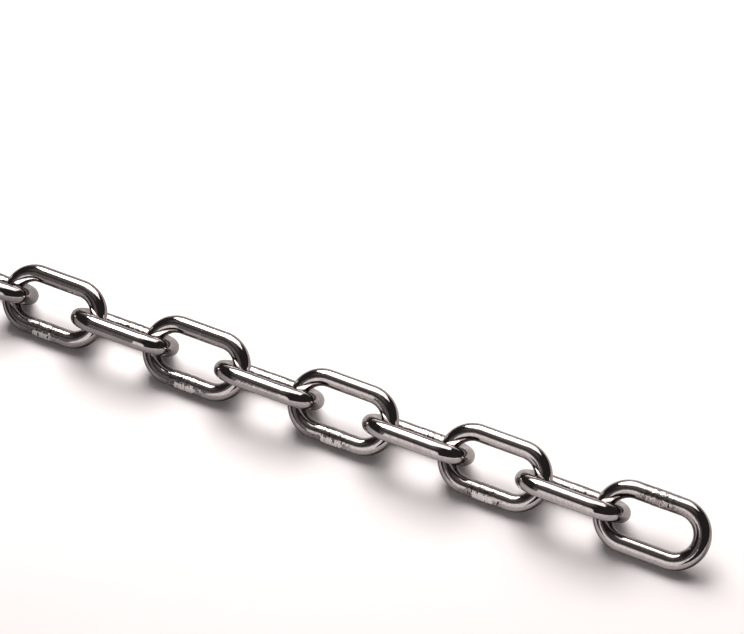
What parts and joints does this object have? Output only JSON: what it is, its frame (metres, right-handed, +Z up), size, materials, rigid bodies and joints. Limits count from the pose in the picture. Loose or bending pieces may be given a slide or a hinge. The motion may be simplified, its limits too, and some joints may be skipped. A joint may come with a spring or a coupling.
{
  "type": "length of welded steel chain",
  "caption": "Straight length of bright welded round steel chain with long oval links, lying on a level surface; each link swings on its neighbour and either end takes a shackle.",
  "frame": {"origin": "on the surface that the chain lies on, under the middle of its length and width", "axes": "+X along the chain to its free end (link_01), +Y away from the viewer across the chain, +Z up"},
  "size_m": [1.007, 0.0254, 0.0254],
  "materials": {
    "polished_steel": "bright stainless wire, tumbled to a mirror finish with fine scuffs, dull at the butt welds"
  },
  "bodies": {
    "link_01": {"link_01": "polished_steel"},
    "link_02": {"link_02": "polished_steel"},
    "link_03": {"link_03": "polished_steel"},
    "link_04": {"link_04": "polished_steel"},
    "link_05": {"link_05": "polished_steel"},
    "link_06": {"link_06": "polished_steel"},
    "link_07": {"link_07": "polished_steel"},
    "link_08": {"link_08": "polished_steel"},
    "link_09": {"link_09": "polished_steel"},
    "link_10": {"link_10": "polished_steel"},
    "link_11": {"link_11": "polished_steel"},
    "link_12": {"link_12": "polished_steel"},
    "link_13": {"link_13": "polished_steel"},
    "link_14": {"link_14": "polished_steel"},
    "link_15": {"link_15": "polished_steel"},
    "link_16": {"link_16": "polished_steel"},
    "link_17": {"link_17": "polished_steel"},
    "link_18": {"link_18": "polished_steel"},
    "link_19": {"link_19": "polished_steel"},
    "link_20": {"link_20": "polished_steel"},
    "link_21": {"link_21": "polished_steel"},
    "link_22": {"link_22": "polished_steel"},
    "link_23": {"link_23": "polished_steel"},
    "link_24": {"link_24": "polished_steel"},
    "link_25": {"link_25": "polished_steel"},
    "link_26": {"link_26": "polished_steel"},
    "link_27": {"link_27": "polished_steel"}
  },
  "joints": [
    {"name": "link_02_swing", "type": "hinge", "parent": "link_01", "child": "link_02", "pos_m": [0.4546, 0, 0.01269], "axis": [0, 0.7071, 0.7071], "range_deg": [-90, 90]},
    {"name": "link_03_swing", "type": "hinge", "parent": "link_02", "child": "link_03", "pos_m": [0.4179, 0, 0.01269], "axis": [0, -0.7071, 0.7071], "range_deg": [-90, 90]},
    {"name": "link_04_swing", "type": "hinge", "parent": "link_03", "child": "link_04", "pos_m": [0.3812, 0, 0.01269], "axis": [0, -0.7071, -0.7071], "range_deg": [-90, 90]},
    {"name": "link_05_swing", "type": "hinge", "parent": "link_04", "child": "link_05", "pos_m": [0.3445, 0, 0.01269], "axis": [0, 0.7071, -0.7071], "range_deg": [-90, 90]},
    {"name": "link_06_swing", "type": "hinge", "parent": "link_05", "child": "link_06", "pos_m": [0.3078, 0, 0.01269], "axis": [0, 0.7071, 0.7071], "range_deg": [-90, 90]},
    {"name": "link_07_swing", "type": "hinge", "parent": "link_06", "child": "link_07", "pos_m": [0.2711, 0, 0.01269], "axis": [0, -0.7071, 0.7071], "range_deg": [-90, 90]},
    {"name": "link_08_swing", "type": "hinge", "parent": "link_07", "child": "link_08", "pos_m": [0.2344, 0, 0.01269], "axis": [0, -0.7071, -0.7071], "range_deg": [-90, 90]},
    {"name": "link_09_swing", "type": "hinge", "parent": "link_08", "child": "link_09", "pos_m": [0.1977, 0, 0.01269], "axis": [0, 0.7071, -0.7071], "range_deg": [-90, 90]},
    {"name": "link_10_swing", "type": "hinge", "parent": "link_09", "child": "link_10", "pos_m": [0.161, 0, 0.01269], "axis": [0, 0.7071, 0.7071], "range_deg": [-90, 90]},
    {"name": "link_11_swing", "type": "hinge", "parent": "link_10", "child": "link_11", "pos_m": [0.1243, 0, 0.01269], "axis": [0, -0.7071, 0.7071], "range_deg": [-90, 90]},
    {"name": "link_12_swing", "type": "hinge", "parent": "link_11", "child": "link_12", "pos_m": [0.0876, 0, 0.01269], "axis": [0, -0.7071, -0.7071], "range_deg": [-90, 90]},
    {"name": "link_13_swing", "type": "hinge", "parent": "link_12", "child": "link_13", "pos_m": [0.0509, 0, 0.01269], "axis": [0, 0.7071, -0.7071], "range_deg": [-90, 90]},
    {"name": "link_14_swing", "type": "hinge", "parent": "link_13", "child": "link_14", "pos_m": [0.0142, 0, 0.01269], "axis": [0, 0.7071, 0.7071], "range_deg": [-90, 90]},
    {"name": "link_15_swing", "type": "hinge", "parent": "link_14", "child": "link_15", "pos_m": [-0.0225, 0, 0.01269], "axis": [0, -0.7071, 0.7071], "range_deg": [-90, 90]},
    {"name": "link_16_swing", "type": "hinge", "parent": "link_15", "child": "link_16", "pos_m": [-0.0592, 0, 0.01269], "axis": [0, -0.7071, -0.7071], "range_deg": [-90, 90]},
    {"name": "link_17_swing", "type": "hinge", "parent": "link_16", "child": "link_17", "pos_m": [-0.0959, 0, 0.01269], "axis": [0, 0.7071, -0.7071], "range_deg": [-90, 90]},
    {"name": "link_18_swing", "type": "hinge", "parent": "link_17", "child": "link_18", "pos_m": [-0.1326, 0, 0.01269], "axis": [0, 0.7071, 0.7071], "range_deg": [-90, 90]},
    {"name": "link_19_swing", "type": "hinge", "parent": "link_18", "child": "link_19", "pos_m": [-0.1693, 0, 0.01269], "axis": [0, -0.7071, 0.7071], "range_deg": [-90, 90]},
    {"name": "link_20_swing", "type": "hinge", "parent": "link_19", "child": "link_20", "pos_m": [-0.206, 0, 0.01269], "axis": [0, -0.7071, -0.7071], "range_deg": [-90, 90]},
    {"name": "link_21_swing", "type": "hinge", "parent": "link_20", "child": "link_21", "pos_m": [-0.2427, 0, 0.01269], "axis": [0, 0.7071, -0.7071], "range_deg": [-90, 90]},
    {"name": "link_22_swing", "type": "hinge", "parent": "link_21", "child": "link_22", "pos_m": [-0.2794, 0, 0.01269], "axis": [0, 0.7071, 0.7071], "range_deg": [-90, 90]},
    {"name": "link_23_swing", "type": "hinge", "parent": "link_22", "child": "link_23", "pos_m": [-0.3161, 0, 0.01269], "axis": [0, -0.7071, 0.7071], "range_deg": [-90, 90]},
    {"name": "link_24_swing", "type": "hinge", "parent": "link_23", "child": "link_24", "pos_m": [-0.3528, 0, 0.01269], "axis": [0, -0.7071, -0.7071], "range_deg": [-90, 90]},
    {"name": "link_25_swing", "type": "hinge", "parent": "link_24", "child": "link_25", "pos_m": [-0.3895, 0, 0.01269], "axis": [0, 0.7071, -0.7071], "range_deg": [-90, 90]},
    {"name": "link_26_swing", "type": "hinge", "parent": "link_25", "child": "link_26", "pos_m": [-0.4262, 0, 0.01269], "axis": [0, 0.7071, 0.7071], "range_deg": [-90, 90]},
    {"name": "link_27_swing", "type": "hinge", "parent": "link_26", "child": "link_27", "pos_m": [-0.4629, 0, 0.01269], "axis": [0, -0.7071, 0.7071], "range_deg": [-90, 90]}
  ]
}
